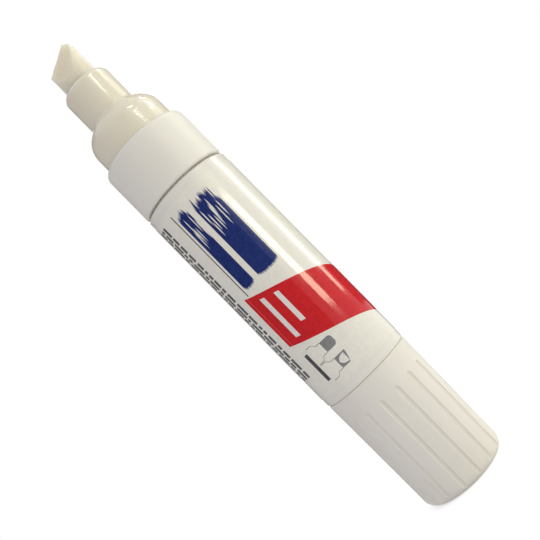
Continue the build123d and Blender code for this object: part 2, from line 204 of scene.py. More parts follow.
@dataclass
class EffectLibrary:
    """Builds each shared node group once and places it in the materials that ask for it."""

    colour_sockets: tuple[str, ...] = ("Colour", "Tint")
    drifts_per_m: float = 85.0
    gloss_per_m: float = 520.0
    smudges_per_m: float = 110.0
    smudge_range: Pair = (0.52, 0.74)
    ridges_per_m: float = 2600.0
    ridge_along: float = 0.35
    ridge_floor: float = 0.4
    scratches_per_m: float = 2200.0
    scratch_along: float = 0.03
    scratch_range: Pair = (0.7, 0.76)
    waves_per_m: float = 230.0
    wave_along: float = 0.45
    film_gloss_per_m: float = 900.0
    built: dict[SharedEffect, bpy.types.NodeTree] = field(default_factory=dict)

    def use(self, sheet: NodeSheet, effect: SharedEffect, inputs: Inputs) -> bpy.types.NodeOutputs:
        """Place a shared effect in a material.

        Args:
            sheet: The material's node sheet.
            effect: Which effect.
            inputs: The values for the group's inputs.

        Returns:
            The effect's outputs.
        """
        if effect not in self.built:
            self.built[effect] = bpy.data.node_groups.new(effect.value, "ShaderNodeTree")
            getattr(self, effect.value)(NodeSheet(self.built[effect]))
        return sheet.add("ShaderNodeGroup", inputs, node_tree=self.built[effect]).outputs

    def sockets(
        self, sheet: NodeSheet, inputs: tuple[str, ...], outputs: tuple[str, ...]
    ) -> tuple[bpy.types.NodeOutputs, Node]:
        """Give a group its named inputs and outputs.

        Args:
            sheet: The group's node sheet.
            inputs: The names of its inputs.
            outputs: The names of its outputs.

        Returns:
            What is given to the group, and its output node.
        """
        for way, names in (("INPUT", inputs), ("OUTPUT", outputs)):
            for name in names:
                kind = "NodeSocketColor" if name in self.colour_sockets else "NodeSocketFloat"
                sheet.tree.interface.new_socket(name, in_out=way, socket_type=kind)
        return sheet.add("NodeGroupInput").outputs, sheet.add("NodeGroupOutput")

    def moulded_skin(self, sheet: NodeSheet) -> None:
        """Lay out slow shifts of colour, uneven gloss and the fine grain of a moulding.

        Args:
            sheet: The group's node sheet.
        """
        names = ("Colour", "Tint", "Smooth", "Rough", "Grain")
        given, result = self.sockets(sheet, names, ("Colour", "Roughness", "Height"))
        drift = sheet.span(sheet.noise(self.drifts_per_m, detail=3.0), *MIDDLE_RANGE)
        gloss = sheet.noise(self.gloss_per_m, detail=4.0)
        shown = {
            "Colour": sheet.mix(drift, given["Colour"], given["Tint"]),
            "Roughness": sheet.span(gloss, *WIDE_RANGE, given["Smooth"], given["Rough"]),
            "Height": sheet.noise(given["Grain"], detail=3.0),
        }
        sheet.feed(result, shown)

    def handling_marks(self, sheet: NodeSheet) -> None:
        """Lay out finger smudges and fine scratches along the marker, as one mask.

        Args:
            sheet: The group's node sheet.
        """
        given, result = self.sockets(sheet, ("Amount",), ("Mask",))
        smudges = sheet.noise(self.smudges_per_m, detail=5.0)
        ridges = sheet.noise(self.ridges_per_m, detail=2.0, along=self.ridge_along)
        scratches = sheet.noise(self.scratches_per_m, detail=1.0, along=self.scratch_along)
        ridged = sheet.span(ridges, *MIDDLE_RANGE, self.ridge_floor)
        smudged = sheet.math("MULTIPLY", sheet.span(smudges, *self.smudge_range), ridged)
        both = sheet.math("MAXIMUM", smudged, sheet.span(scratches, *self.scratch_range))
        sheet.feed(result, {"Mask": sheet.math("MULTIPLY", both, given["Amount"])})

    def film_ripple(self, sheet: NodeSheet) -> None:
        """Lay out the faint waves of a film stretched round a tube, and its uneven gloss.

        Args:
            sheet: The group's node sheet.
        """
        given, result = self.sockets(sheet, ("Smooth", "Rough"), ("Roughness", "Height"))
        waves = sheet.noise(self.waves_per_m, detail=2.0, along=self.wave_along)
        gloss = sheet.noise(self.film_gloss_per_m, detail=3.0)
        roughness = sheet.span(gloss, *MIDDLE_RANGE, given["Smooth"], given["Rough"])
        sheet.feed(result, {"Roughness": roughness, "Height": waves})


EFFECTS = EffectLibrary()


@dataclass(frozen=True)
class Finish(ABC):
    """A finish, which lays out its look in a material with one Principled shader."""

    name: str

    @abstractmethod
    def shade(self, sheet: NodeSheet) -> Inputs:
        """Lay out the finish and give what goes into the shader."""

    def material(self) -> Material:
        """Make the material.

        Returns:
            The finished material.
        """
        material = bpy.data.materials.new(self.name)
        material.use_nodes = True
        sheet = NodeSheet(material.node_tree)
        shader = sheet.add("ShaderNodeBsdfPrincipled")
        sheet.add("ShaderNodeOutputMaterial", {"Surface": shader.outputs[0]})
        sheet.feed(shader, self.shade(sheet))
        return material


@dataclass(frozen=True)
class MouldedPlastic(Finish):
    """A moulded plastic: its colour, gloss, grain and how far light soaks into it."""

    colour: Levels
    tint: Levels
    smooth: float
    rough: float
    grain_per_m: float = 4200.0
    grain_depth_m: float = 6e-6
    marks: float = 0.12
    soak: float = 0.0
    soak_depth_m: float = 0.0015
    soak_spread: Triple = (1.0, 0.85, 0.6)
    shine: float = 0.25

    def shade(self, sheet: NodeSheet) -> Inputs:
        """Lay out the skin of the moulding and the marks on it.

        Args:
            sheet: The material's node sheet.

        Returns:
            What goes into the shader.
        """
        given = {
            "Colour": screen_colour(self.colour),
            "Tint": screen_colour(self.tint),
            "Smooth": self.smooth,
            "Rough": self.rough,
            "Grain": self.grain_per_m,
        }
        skin = EFFECTS.use(sheet, SharedEffect.MOULDED_SKIN, given)
        marks = EFFECTS.use(sheet, SharedEffect.HANDLING_MARKS, {"Amount": self.marks})
        return {
            "Base Color": skin["Colour"],
            "Roughness": sheet.math("ADD", skin["Roughness"], marks["Mask"]),
            "Normal": sheet.bump(skin["Height"], self.grain_depth_m),
            "Subsurface Weight": self.soak,
            "Subsurface Radius": self.soak_spread,
            "Subsurface Scale": self.soak_depth_m,
            "Specular IOR Level": self.shine,
        }


@dataclass(frozen=True)
class GlossyFilm(Finish):
    """Printed or bare label film under one clear glossy layer."""

    colour: Levels
    tint: Levels
    smooth: float = 0.06
    rough: float = 0.1
    marks: float = 0.05
    mottles_per_m: float = 1500.0
    mottle_range: Pair = (0.4, 0.6)
    ripple_depth_m: float = 1.5e-6
    shine: float = 0.25

    def shade(self, sheet: NodeSheet) -> Inputs:
        """Lay out the film's ripple, its mottled ink and the marks on it.

        Args:
            sheet: The material's node sheet.

        Returns:
            What goes into the shader.
        """
        film = EFFECTS.use(sheet, SharedEffect.FILM_RIPPLE, {"Smooth": self.smooth, "Rough": self.rough})
        marks = EFFECTS.use(sheet, SharedEffect.HANDLING_MARKS, {"Amount": self.marks})
        mottle = sheet.span(sheet.noise(self.mottles_per_m, detail=4.0), *self.mottle_range)
        return {
            "Base Color": sheet.mix(mottle, screen_colour(self.colour), screen_colour(self.tint)),
            "Roughness": sheet.math("ADD", film["Roughness"], marks["Mask"]),
            "Normal": sheet.bump(film["Height"], self.ripple_depth_m),
            "Specular IOR Level": self.shine,
        }


@dataclass(frozen=True)
class PressedFelt(Finish):
    """Pressed felt: fibres that run along the nib, with painted shade in the darker hollows between them.
    """

    fibre: Levels
    # Darker colour of the hollows between the fibres: painted shade.
    hollow_shade: Levels
    stain: Levels
    strands_per_m: float = 5200.0
    strand_along: float = 0.09
    tufts_per_m: float = 900.0
    tuft_along: float = 0.4
    relief_range: Pair = (0.8, 1.15)
    stains_per_m: float = 210.0
    stain_range: Pair = (0.4, 0.7)
    roughness: Pair = (0.95, 0.72)
    fibre_depth_m: float = 1.0e-5
    sheen: float = 0.1
    sheen_roughness: float = 0.45
    soak: float = 1.0
    soak_depth_m: float = 0.005
    soak_spread: Triple = (1.0, 0.8, 0.55)

    def shade(self, sheet: NodeSheet) -> Inputs:
        """Lay out the strands, the tufts, the painted shade in the hollows between them and the faint
        stains.

        Args:
            sheet: The material's node sheet.

        Returns:
            What goes into the shader.
        """
        strands = sheet.noise(self.strands_per_m, detail=4.0, along=self.strand_along)
        tufts = sheet.noise(self.tufts_per_m, detail=3.0, along=self.tuft_along)
        stains = sheet.span(sheet.noise(self.stains_per_m, detail=3.0), *self.stain_range)
        relief = sheet.math("ADD", strands, tufts)
        raised = sheet.span(relief, *self.relief_range)
        # The hollows between the raised fibres get the darker colour: painted shade.
        felt = sheet.mix(raised, screen_colour(self.hollow_shade), screen_colour(self.fibre))
        return {
            "Base Color": sheet.mix(stains, felt, screen_colour(self.stain)),
            "Roughness": sheet.span(strands, *WIDE_RANGE, *self.roughness),
            "Normal": sheet.bump(relief, self.fibre_depth_m),
            "Sheen Weight": self.sheen,
            "Sheen Roughness": self.sheen_roughness,
            "Subsurface Weight": self.soak,
            "Subsurface Radius": self.soak_spread,
            "Subsurface Scale": self.soak_depth_m,
        }


@dataclass(frozen=True)
class Rubber(Finish):
    """Dull black rubber with a bloom of talc."""

    colour: Colour
    bloom: Colour
    dust_per_m: float = 650.0
    dust_range: Pair = (0.5, 0.75)
    roughness: Pair = (0.55, 0.85)
    grain_per_m: float = 5200.0
    grain_depth_m: float = 1.2e-5

    def shade(self, sheet: NodeSheet) -> Inputs:
        """Lay out the dust and the grain.

        Args:
            sheet: The material's node sheet.

        Returns:
            What goes into the shader.
        """
        dust = sheet.span(sheet.noise(self.dust_per_m, detail=5.0), *self.dust_range)
        grain = sheet.noise(self.grain_per_m, detail=2.0)
        return {
            "Base Color": sheet.mix(dust, self.colour, self.bloom),
            "Roughness": sheet.span(dust, 0.0, 1.0, *self.roughness),
            "Normal": sheet.bump(grain, self.grain_depth_m),
        }


@dataclass(frozen=True)
class Steel(Finish):
    """Bare steel, from drawn wire to a polished ball."""

    colour: Colour
    streak: Colour
    smooth: float
    rough: float
    streaks_per_m: float
    streak_along: float = 1.0
    streak_depth_m: float = 2e-6
    marks: float = 0.12

    def shade(self, sheet: NodeSheet) -> Inputs:
        """Lay out the streaks and the marks.

        Args:
            sheet: The material's node sheet.

        Returns:
            What goes into the shader.
        """
        streaks = sheet.noise(self.streaks_per_m, detail=3.0, along=self.streak_along)
        marks = EFFECTS.use(sheet, SharedEffect.HANDLING_MARKS, {"Amount": self.marks})
        polish = sheet.span(streaks, *WIDE_RANGE, self.smooth, self.rough)
        return {
            "Base Color": sheet.mix(streaks, self.colour, self.streak),
            "Roughness": sheet.math("ADD", polish, marks["Mask"]),
            "Normal": sheet.bump(streaks, self.streak_depth_m),
            "Metallic": 1.0,
        }


@dataclass(frozen=True)
class Cloth(Finish):
    """A dark matt cloth, for the sheets that show only in reflections as painted dark reflections."""

    dark: Colour = grey(0.05)
    pale: Colour = grey(0.09)
    weave_per_m: float = 400.0
    roughness: float = 0.95

    def shade(self, sheet: NodeSheet) -> Inputs:
        """Lay out the weave and give what goes into the shader."""
        weave = sheet.noise(self.weave_per_m, detail=3.0)
        return {"Base Color": sheet.mix(weave, self.dark, self.pale), "Roughness": self.roughness}


def dress(finish: Finish, *nodes: str) -> None:
    """Give one finish to carried-over CAD nodes.

    Args:
        finish: The finish that they wear.
        *nodes: Their names.
    """
    material = finish.material()
    for node in nodes:
        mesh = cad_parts[node].data
        mesh.materials.clear()
        mesh.materials.append(material)
        LOG.info("dressed %s with %s", node, material.name)


def new_piece(
    name: str,
    points: list[Vector],
    faces: list[Face],
    materials: list[Material],
    face_materials: list[int] | None = None,
) -> Piece:
    """Make a mesh piece and put it in the scene.

    Args:
        name: The piece's name.
        points: Its corners, in metres.
        faces: The corners of each face, by number.
        materials: Its materials.
        face_materials: The number of each face's material, or nothing for the first.

    Returns:
        The new piece.
    """
    mesh = bpy.data.meshes.new(name)
    mesh.from_pydata(points, [], faces)
    for material in materials:
        mesh.materials.append(material)
    mesh.shade_smooth()
    mesh.set_sharp_from_angle(angle=CREASE)
    if face_materials:
        mesh.polygons.foreach_set("material_index", face_materials)
    mesh.validate()
    piece = bpy.data.objects.new(name, mesh)
    bpy.context.scene.collection.objects.link(piece)
    return piece


def tube_faces(first: int, columns: int, corners: int) -> list[Face]:
    """Give the faces of a closed tube, which runs from ring to ring of corners.

    Args:
        first: The number of the tube's first corner.
        columns: How many steps the tube takes from its first ring to its last.
        corners: How many corners each ring has.

    Returns:
        The corners of each face, by number.
    """
    faces: list[Face] = []
    for column in range(columns):
        here = first + corners * column
        there = here + corners
        for side in range(corners):
            after = (side + 1) % corners
            faces.append((here + side, there + side, there + after, here + after))
    ring = range(corners)
    last = first + corners * columns
    return [*faces, tuple(first + side for side in ring), tuple(last + side for side in reversed(ring))]


def hand_over(piece: Piece, body: Body, replaced: tuple[str, ...] = ()) -> None:
    """Let a piece ride on its body and stand for the nodes that it replaces.

    Args:
        piece: The piece.
        body: The body that it moves with.
        replaced: The CAD nodes that it stands for.
    """
    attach(piece, body.value)
    if replaced:
        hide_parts(*replaced)
    LOG.info("built %s on %s, %d faces", piece.name, body.value, len(piece.data.polygons))


class Print(Enum):
    """The inks on the label, each with its colour and the colour that it mottles to."""

    RED = ((215, 44, 48), (208, 40, 45))
    LIGHT_RED = ((232, 84, 84), (226, 76, 77))
    NAVY = ((41, 56, 117), (36, 50, 109))
    DARK_GREY = ((92, 92, 92), (84, 84, 85))
    MIDDLE_GREY = ((140, 140, 138), (131, 131, 130))
    LIGHT_GREY = ((172, 172, 167), (164, 164, 160))
    SMALL_GREY = ((108, 108, 110), (99, 99, 102))
    WHITE = ((240, 236, 228), (235, 230, 222))


@dataclass(frozen=True)
class Patch:
    """A printed shape on the unrolled label, between two lines that run across it, in millimetres.

    Across is the way round from the marker's front, positive towards +X, and along is the height above
    the label's lower edge. The layer counts the inks that lie under it.
    """

    ink: Print
    left: float
    right: float
    low: Callable[[float], float]
    high: Callable[[float], float]
    layer: int = 0


def bar(ink: Print, sides: Pair, ends: Pair, slope: float = 0.0, layer: int = 0) -> Patch:
    """Draw a plain bar between two sides and two ends, which may slope across the label."""
    low, high = ends
    return Patch(ink, *sides, lambda s: low + slope * s, lambda s: high + slope * s, layer)


@dataclass(frozen=True)
class Stroke:
    """A paint stroke along the label: its sides, its bristle tracks and how far their ends differ."""

    left: float
    right: float
    tracks: int
    ragged: float


class TipForm(Enum):
    """The ends of the nib that the label pictures."""

    ROUND = "round"
    SLANTED = "slanted"


@dataclass(frozen=True)
class TipPicture:
    """A small plain picture of one end of the nib in its holder, with the tip at the label's front line.

    Its sizes are in millimetres on the unrolled label, and places below zero lie down from that line.
    """

    form: TipForm
    middle: float
    half_width: float
    foot: float = -2.32
    round_depth: float = 0.7
    round_cut: float = 0.45
    slant_depth: float = 0.45
    corner_share: float = 0.9
    face_top: float = -0.5
    face_depth: float = 1.5
    face_share: float = 0.78
    face_least: float = 0.02
    neck_foot: float = -3.28
    body_top: float = -3.85
    body_foot: float = -5.0
    body_half_width: float = 1.72
    line: float = 0.14

    def round_side(self, across: float) -> float:
        """Give half the width of a round tip at a place across the label."""
        return self.half_width * (1 - self.round_cut * max(1 + across / self.round_depth, 0) ** 3)

    def slanted_side(self, across: float) -> float:
        """Give how far a slanted tip reaches below its middle line at a place across the label."""
        reach = -self.corner_share - (1 + self.corner_share) * across / self.slant_depth
        return self.half_width * min(1, reach)

    def face_side(self, across: float) -> float:
        """Give half the width of a slanted tip's bare face at a place across the label."""
        down = (self.face_top - across) / self.face_depth
        return self.face_share * self.half_width * math.sqrt(max(1 - down * down, self.face_least))

    def holder_side(self, across: float) -> float:
        """Give half the width of the holder at a place across the label."""
        flare = min(max((self.neck_foot - across) / (self.neck_foot - self.body_top), 0), 1)
        return self.half_width + (self.body_half_width - self.half_width) * flare

    def outline(self, side: int) -> Patch:
        """Draw one line of the holder's outline.

        Args:
            side: -1 for the line below the middle line, 1 for the one above it.

        Returns:
            The line.
        """
        half = self.line / 2
        return Patch(
            Print.LIGHT_GREY,
            self.body_foot,
            self.foot,
            lambda s: self.middle + side * self.holder_side(s) - half,
            lambda s: self.middle + side * self.holder_side(s) + half,
        )

    def patches(self) -> list[Patch]:
        """Draw the tip, the bare face of a slanted one and the holder's outline.

        Returns:
            The patches of the picture.
        """
        middle, top = self.middle, self.middle + self.half_width
        holder = [self.outline(-1), self.outline(1)]
        if self.form is TipForm.ROUND:
            sides = (lambda s: middle - self.round_side(s), lambda s: middle + self.round_side(s))
            return [Patch(Print.MIDDLE_GREY, self.foot, 0.0, *sides), *holder]
        sides = (lambda s: middle - self.slanted_side(s), lambda s: top)
        face_sides = (lambda s: middle - self.face_side(s), lambda s: middle + self.face_side(s))
        face_foot = self.face_top - self.face_depth
        face = Patch(Print.WHITE, face_foot, self.face_top, *face_sides, layer=1)
        return [Patch(Print.MIDDLE_GREY, self.foot, 0.0, *sides), *holder, face]


@dataclass
class Label:
    """The film wrapped round the barrel, lapped at the back, and the ink printed on it.

    The sizes and places of the ink are in millimetres on the unrolled label, as its patches have them.
    """

    film: GlossyFilm = GlossyFilm("label_film_white", (243, 240, 227), (240, 236, 223))
    film_mm: float = 0.08
    lap_mm: float = 3.0
    lap_rise_mm: float = 0.085
    lap_ramp_deg: float = 5.0
    column_deg: float = 1.0
    ink_mm: float = 0.012
    ink_column_mm: float = 0.3
    least_columns: int = 2
    band_front_mm: float = 19.7
    band_width_mm: float = 11.15
    band_slope: float = -0.313
    band_left_mm: float = -6.98
    band_right_mm: float = 19.4
    band_rule_mm: float = -6.3
    band_rule_width_mm: float = 0.16
    bar_width_mm: float = 0.9
    bar_margin_mm: float = 1.05
    bar_places_mm: tuple[Pair, ...] = ((-1.83, 6.6), (-4.52, 8.85))
    strokes: tuple[Stroke, ...] = (Stroke(-1.5, 3.1, 23, 3.4), Stroke(-5.1, -2.6, 13, 1.8))
    stroke_start_mm: float = 22.4
    stroke_end_mm: float = 40.9
    start_round_mm: float = 0.5
    start_spread_mm: float = 0.2
    ragged_floor: float = 0.35
    dry_share: float = 0.34
    dry_reach_mm: Pair = (5.0, 8.0)
    dry_length_mm: Pair = (3.4, 5.2)
    start_bow_mm: float = 0.5
    dry_bow_mm: float = -1.4
    wet_bow_mm: float = -1.0
    end_bow_mm: float = 0.9
    thin_rule: Patch = bar(Print.DARK_GREY, (-5.77, -5.57), (21.8, 40.75))
    dark_bar: Patch = bar(Print.DARK_GREY, (-6.15, -5.4), (2.05, 7.9))
    tips: tuple[TipPicture, ...] = (
        TipPicture(TipForm.ROUND, 6.79, 1.04),
        TipPicture(TipForm.SLANTED, 3.16, 1.12),
    )
    dash_rows_mm: tuple[float, ...] = (-9.5, -10.65, -11.8)
    dash_width_mm: float = 0.72
    dash_ends_mm: Pair = (4.6, 40.7)
    dash_length_mm: Pair = (0.6, 2.6)
    dash_gap_mm: Pair = (0.3, 0.5)
    seed: int = 11

    def __post_init__(self) -> None:
        """Take the film's place from the frame."""
        low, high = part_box("label")
        self.radius_mm = high.x / MM
        self.bottom_mm = low.z / MM
        self.length_mm = (high.z - low.z) / MM

    def ring(self, angle: float, radii: Pair, ends: Pair) -> list[Vector]:
        """Give the four corners of a cut through the film or the ink.

        Args:
            angle: Where the cut lies, round from the marker's front.
            radii: The inner and the outer radius, in millimetres.
            ends: The lower and the upper end above the label's lower edge, in millimetres.

        Returns:
            The corners, in metres.
        """
        (inner, outer), (low, high) = radii, ends
        corners = ((inner, low), (outer, low), (outer, high), (inner, high))
        return [polar(angle, radius, self.bottom_mm + height) * MM for radius, height in corners]

    def build_film(self) -> Piece:
        """Roll the film into one closed sheet whose end laps over its start.

        Returns:
            The film.
        """
        length_deg = FULL_TURN_DEG + math.degrees(self.lap_mm / self.radius_mm)
        columns = round(length_deg / self.column_deg)
        points = []
        for column in range(columns + 1):
            turned = length_deg * column / columns
            climb = (turned - FULL_TURN_DEG + self.lap_ramp_deg) / self.lap_ramp_deg
            climb = min(max(climb, 0), 1)
            outer = self.radius_mm + self.lap_rise_mm * climb * climb * (3 - 2 * climb)
            angle = math.radians(turned - FULL_TURN_DEG / 2)
            points += self.ring(angle, (outer - self.film_mm, outer), (0, self.length_mm))
        faces = tube_faces(0, columns, SLAB_CORNERS)
        return new_piece("label_film", points, faces, [self.film.material()])

    def paint(self, stroke: Stroke) -> list[Patch]:
        """Draw one paint stroke along the marker as side by side bristle tracks with uneven ends.

        Args:
            stroke: The stroke to draw.

        Returns:
            The patches of its tracks.
        """
        draw = random.Random(self.seed + stroke.tracks)
        width = (stroke.right - stroke.left) / stroke.tracks
        patches = []
        for track in range(stroke.tracks):
            edge = abs(2 * (track + 0.5) / stroke.tracks - 1)
            start = self.stroke_start_mm + self.start_round_mm * edge**3
            start += draw.uniform(0, self.start_spread_mm)
            uneven = self.ragged_floor + (1 - self.ragged_floor) * edge
            end = self.stroke_end_mm - stroke.ragged * draw.random() * uneven
            side = stroke.left + track * width
            dry_from = end - draw.uniform(*self.dry_reach_mm)
            lengths = [(start, end, self.start_bow_mm, self.end_bow_mm)]
            if draw.random() < self.dry_share:
                dry_to = dry_from + draw.uniform(*self.dry_length_mm)
                lengths = [
                    (start, dry_from, self.start_bow_mm, self.dry_bow_mm),
                    (dry_to, end, self.wet_bow_mm, self.end_bow_mm),
                ]
            patches += [self.bristle_track(side, width, *length) for length in lengths]
        return patches

    @staticmethod
    def bristle_track(
        left: float, width: float, start: float, end: float, start_bow: float, end_bow: float
    ) -> Patch:
        """Draw a length of one bristle track, whose ends bow out in its middle or, below zero, in.

        Args:
            left: Where the track starts across the label.
            width: How wide it is.
            start: How far down its middle reaches.
            end: How far up its middle reaches.
            start_bow: How far its middle reaches beyond its sides at the start.
            end_bow: The same at the end.

        Returns:
            The track.
        """

        def off_middle(across: float) -> float:
            """Give how far a place lies off the track's middle, from 0 to 1, squared."""
            return (2 * (across - left) / width - 1) ** 2

        return Patch(
            Print.NAVY,
            left,
            left + width,
            lambda s: start + start_bow * off_middle(s),
            lambda s: end - end_bow * off_middle(s),
        )

    def band(self) -> list[Patch]:
        """Draw the slanted red band with its light rule and its white bars.

        Returns:
            The patches of the band.
        """
        ends = (self.band_front_mm - self.band_width_mm, self.band_front_mm)
        rule_left = self.band_rule_mm - self.band_rule_width_mm / 2
        rule_right = self.band_rule_mm + self.band_rule_width_mm / 2
        patches = [
            bar(Print.RED, (self.band_left_mm, rule_left), ends, self.band_slope),
            bar(Print.LIGHT_RED, (rule_left, rule_right), ends, self.band_slope),
            bar(Print.RED, (rule_right, self.band_right_mm), ends, self.band_slope),
        ]
        top = self.band_front_mm - self.bar_margin_mm
        for left, length in self.bar_places_mm:
            sides = (left, left + self.bar_width_mm)
            patches.append(bar(Print.WHITE, sides, (top - length, top), self.band_slope, layer=1))
        return patches

    def dashes(self) -> list[Patch]:
        """Draw the rows of short plain dashes.

        Returns:
            One patch for each dash.
        """
        draw = random.Random(self.seed)
        start, end = self.dash_ends_mm
        patches = []
        for row in self.dash_rows_mm:
            height = start
            while height < end:
                top = min(height + draw.uniform(*self.dash_length_mm), end)
                patches.append(bar(Print.SMALL_GREY, (row, row + self.dash_width_mm), (height, top)))
                height = top + draw.uniform(*self.dash_gap_mm)
        return patches

    def layout(self) -> list[Patch]:
        """Lay out the print: the band, the paint strokes, the rule, the dashes, the tips and the bar.

        Returns:
            All printed patches.
        """
        patches = self.band()
        for stroke in self.strokes:
            patches += self.paint(stroke)
        patches += [self.thin_rule, *self.dashes()]
        for tip in self.tips:
            patches += tip.patches()
        return [*patches, self.dark_bar]

    def build_print(self) -> Piece:
        """Lay the ink on the film as thin closed slabs that follow its curve.

        Returns:
            The print.
        """
        inks = list(Print)
        points, faces, face_inks = [], [], []
        for patch in self.layout():
            width = patch.right - patch.left
            columns = max(self.least_columns, math.ceil(width / self.ink_column_mm))
            slab = tube_faces(len(points), columns, SLAB_CORNERS)
            under = self.radius_mm + self.ink_mm * patch.layer
            for column in range(columns + 1):
                across = patch.left + width * column / columns
                ends = (patch.low(across), patch.high(across))
                points += self.ring(across / self.radius_mm, (under, under + self.ink_mm), ends)
            faces += slab
            face_inks += [inks.index(patch.ink)] * len(slab)
        finishes = [GlossyFilm(f"ink_{ink.name.lower()}", *ink.value).material() for ink in inks]
        return new_piece("label_print", points, faces, finishes, face_inks)

    def build(self) -> None:
        """Build the film and its print and let them ride on the barrel."""
        hand_over(self.build_film(), Body.BARREL, ("label",))
        hand_over(self.build_print(), Body.BARREL)


@dataclass
class Barrel:
    """The glossy barrel, its label and the loose ball inside."""

    label: Label
    shell: MouldedPlastic = MouldedPlastic(
        "barrel_gloss", (241, 238, 228), (238, 234, 223), smooth=0.08, rough=0.15, marks=0.05
    )
    ball: Steel = Steel(
        "ball_polish",
        (0.7, 0.7, 0.71, 1),
        (0.62, 0.62, 0.64, 1),
        smooth=0.06,
        rough=0.14,
        streaks_per_m=3000.0,
    )

    def build(self) -> None:
        """Dress the barrel and the ball and wrap the label."""
        dress(self.shell, "barrel")
        dress(self.ball, "mixing_ball")
        self.label.build()


@dataclass
class Nib:
    """The two-ended felt nib, softened and roughened by its fibres."""

    felt: PressedFelt = PressedFelt("nib_felt_cream", (229, 223, 203), (222, 215, 195), (226, 219, 199))
    voxel_mm: float = 0.12
    soften_rounds: int = 6
    strand_depth_mm: float = 0.03
    strands_per_mm: float = 3.2
    strand_along: float = 0.12
    tuft_depth_mm: float = 0.045
    tufts_per_mm: float = 0.8
    tuft_along: float = 0.5

    def relief(self, point: Vector) -> float:
        """Give how far the felt stands out.

        Args:
            point: A point on the nib, in millimetres.

        Returns:
            The height of the felt there, in millimetres.
        """
        strand = Vector((point.x, point.y, point.z * self.strand_along)) * self.strands_per_mm
        tuft = Vector((point.x, point.y, point.z * self.tuft_along)) * self.tufts_per_mm
        return self.strand_depth_mm * noise.noise(strand) + self.tuft_depth_mm * noise.noise(tuft)

    def build(self) -> None:
        """Make the felt from the nib's own form and let it ride on the nib."""
        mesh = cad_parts["nib"].data.copy()
        mesh.transform(Matrix.Scale(1 / MM, 4))
        piece = bpy.data.objects.new("felt_nib", mesh)
        bpy.context.scene.collection.objects.link(piece)
        remesh = piece.modifiers.new("felt_cells", "REMESH")
        remesh.mode = "VOXEL"
        remesh.voxel_size = self.voxel_mm
        soften = piece.modifiers.new("soften", "SMOOTH")
        soften.iterations = self.soften_rounds
        graph = bpy.context.evaluated_depsgraph_get()
        shaped = bpy.data.meshes.new_from_object(piece.evaluated_get(graph))
        piece.modifiers.clear()
        normals = [normal.vector.copy() for normal in shaped.vertex_normals]
        for vertex, normal in zip(shaped.vertices, normals, strict=True):
            vertex.co += normal * self.relief(vertex.co)
        shaped.transform(Matrix.Scale(MM, 4))
        shaped.shade_smooth()
        shaped.name = "felt_nib"
        piece.data = shaped
        shaped.materials.clear()
        shaped.materials.append(self.felt.material())
        hand_over(piece, Body.NIB, ("nib",))


@dataclass
class FrontEnd:
    """The satin collar and the translucent nose that holds the nib."""

    collar: MouldedPlastic = MouldedPlastic(
        "collar_satin", (241, 238, 227), (238, 234, 222), smooth=0.38, rough=0.48, shine=0.15
    )
    nose: MouldedPlastic = MouldedPlastic(
        "nose_natural",
        (237, 231, 212),
        (235, 228, 208),
        smooth=0.04,
        rough=0.08,
        grain_depth_m=3e-6,
        marks=0.06,
        soak=0.5,
        soak_depth_m=0.001,
    )

    def build(self) -> None:
        """Dress the collar and the nose."""
        dress(self.collar, "front_collar")
        dress(self.nose, "nose")


@dataclass
class Valve:
    """The valve behind the nib: gasket, seat, cage, stem, seal and the spring that shuts it."""

    plastic: MouldedPlastic = MouldedPlastic(
        "valve_natural", (226, 224, 214), (220, 217, 206), smooth=0.32, rough=0.46, soak=0.1
    )
    rubber: Rubber = Rubber("gasket_black", (0.02, 0.02, 0.021, 1), (0.09, 0.09, 0.088, 1))
    steel: Steel = Steel(
        "spring_drawn",
        (0.6, 0.6, 0.61, 1),
        (0.46, 0.46, 0.48, 1),
        smooth=0.22,
        rough=0.4,
        streaks_per_m=2600.0,
        streak_along=3.0,
    )
    wire_mm: float = 0.5
    wire_sides: int = 12
    dead_turns: float = 1.0
    live_turns: float = 5.0
    closed_pitch: float = 1.025
    steps_per_turn: int = 40
    pressed_share: float = 0.8

    def build_spring(self) -> Piece:
        """Coil the spring from one round wire with a closed turn at each end.

        Returns:
            The spring.
        """
        low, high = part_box("valve_spring")
        wire = self.wire_mm * MM / 2
        mean = (high.x - low.x) / 2 - wire
        dead_rise = 2 * self.closed_pitch * wire * self.dead_turns
        live_rise = high.z - low.z - 2 * wire - 2 * dead_rise
        steps = round((2 * self.dead_turns + self.live_turns) * self.steps_per_turn)

        def middle(step: float) -> Vector:
            """Give the middle of the wire.

            Args:
                step: How many steps along the wire.

            Returns:
                The point, in metres.
            """
            turn = step / self.steps_per_turn
            live = min(max(turn - self.dead_turns, 0), self.live_turns)
            dead = turn - live
            rise = low.z + wire + dead_rise * dead / self.dead_turns + live_rise * live / self.live_turns
            return Vector((mean * math.cos(math.tau * turn), mean * math.sin(math.tau * turn), rise))

        points = []
        for step in range(steps + 1):
            here = middle(step)
            ahead = (middle(step + 0.5) - middle(step - 0.5)).normalized()
            outward = Vector((here.x, here.y, 0)).normalized()
            upward = outward.cross(ahead)
            for side in range(self.wire_sides):
                angle = math.tau * side / self.wire_sides
                points.append(here + (outward * math.cos(angle) + upward * math.sin(angle)) * wire)
        faces = tube_faces(0, steps, self.wire_sides)
        return new_piece("coil_spring", points, faces, [self.steel.material()])

    def build(self) -> None:
        """Dress the valve's nodes and coil its spring."""
        dress(self.plastic, "valve_seat", "valve_cage", "valve_stem")
        dress(self.rubber, "nose_gasket", "valve_seal")
        spring = self.build_spring()
        hand_over(spring, Body.BARREL, ("valve_spring",))
        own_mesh(spring)


